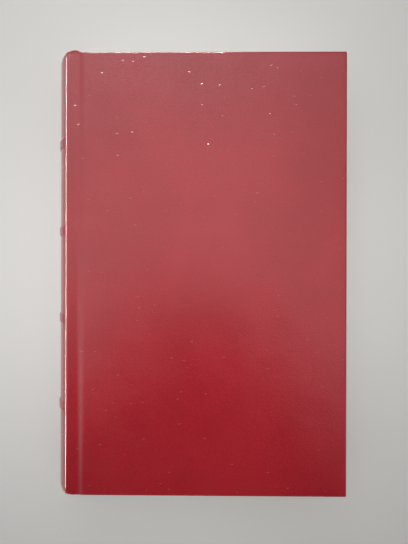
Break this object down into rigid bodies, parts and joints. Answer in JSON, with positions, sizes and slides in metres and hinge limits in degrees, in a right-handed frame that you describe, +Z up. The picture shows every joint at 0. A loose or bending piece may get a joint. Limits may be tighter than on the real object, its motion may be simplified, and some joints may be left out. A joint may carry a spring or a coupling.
{
  "type": "hardback book",
  "caption": "Hardback book with a red leather-look case, a rounded spine with raised bands, grooved joints and two covers that open.",
  "frame": {"origin": "centre of the book's footprint on the surface that its back cover lies on", "axes": "+X from the spine to the fore-edge, +Y from tail to head, +Z up out of the front cover"},
  "size_m": [0.1396, 0.21, 0.03],
  "materials": {
    "covering": "satin",
    "pages": "matte",
    "endpaper": "matte",
    "mull": "matte",
    "liner_paper": "matte",
    "endband": "matte",
    "card": "matte",
    "board": "matte"
  },
  "bodies": {
    "book_block": {"text_block": "pages", "front_endpaper": "endpaper", "back_endpaper": "endpaper", "spine_mull": "mull", "back_liner": "liner_paper", "head_band": "endband", "tail_band": "endband", "spine_inlay": "card", "raised_band_1": "card", "raised_band_2": "card", "raised_band_3": "card", "raised_band_4": "card", "spine_covering": "covering"},
    "front_cover": {"front_board": "board", "front_covering": "covering", "front_mull_flap": "mull", "front_pastedown": "endpaper"},
    "back_cover": {"back_board": "board", "back_covering": "covering", "back_mull_flap": "mull", "back_pastedown": "endpaper"}
  },
  "joints": [
    {"name": "front_cover_hinge", "type": "hinge", "parent": "book_block", "child": "front_cover", "pos_m": [-0.06283, 0, 0.02832], "axis": [0, -1, 0], "range_deg": [0, 180]},
    {"name": "back_cover_hinge", "type": "hinge", "parent": "book_block", "child": "back_cover", "pos_m": [-0.06283, 0, 0.00168], "axis": [0, 1, 0], "range_deg": [0, 180]}
  ]
}
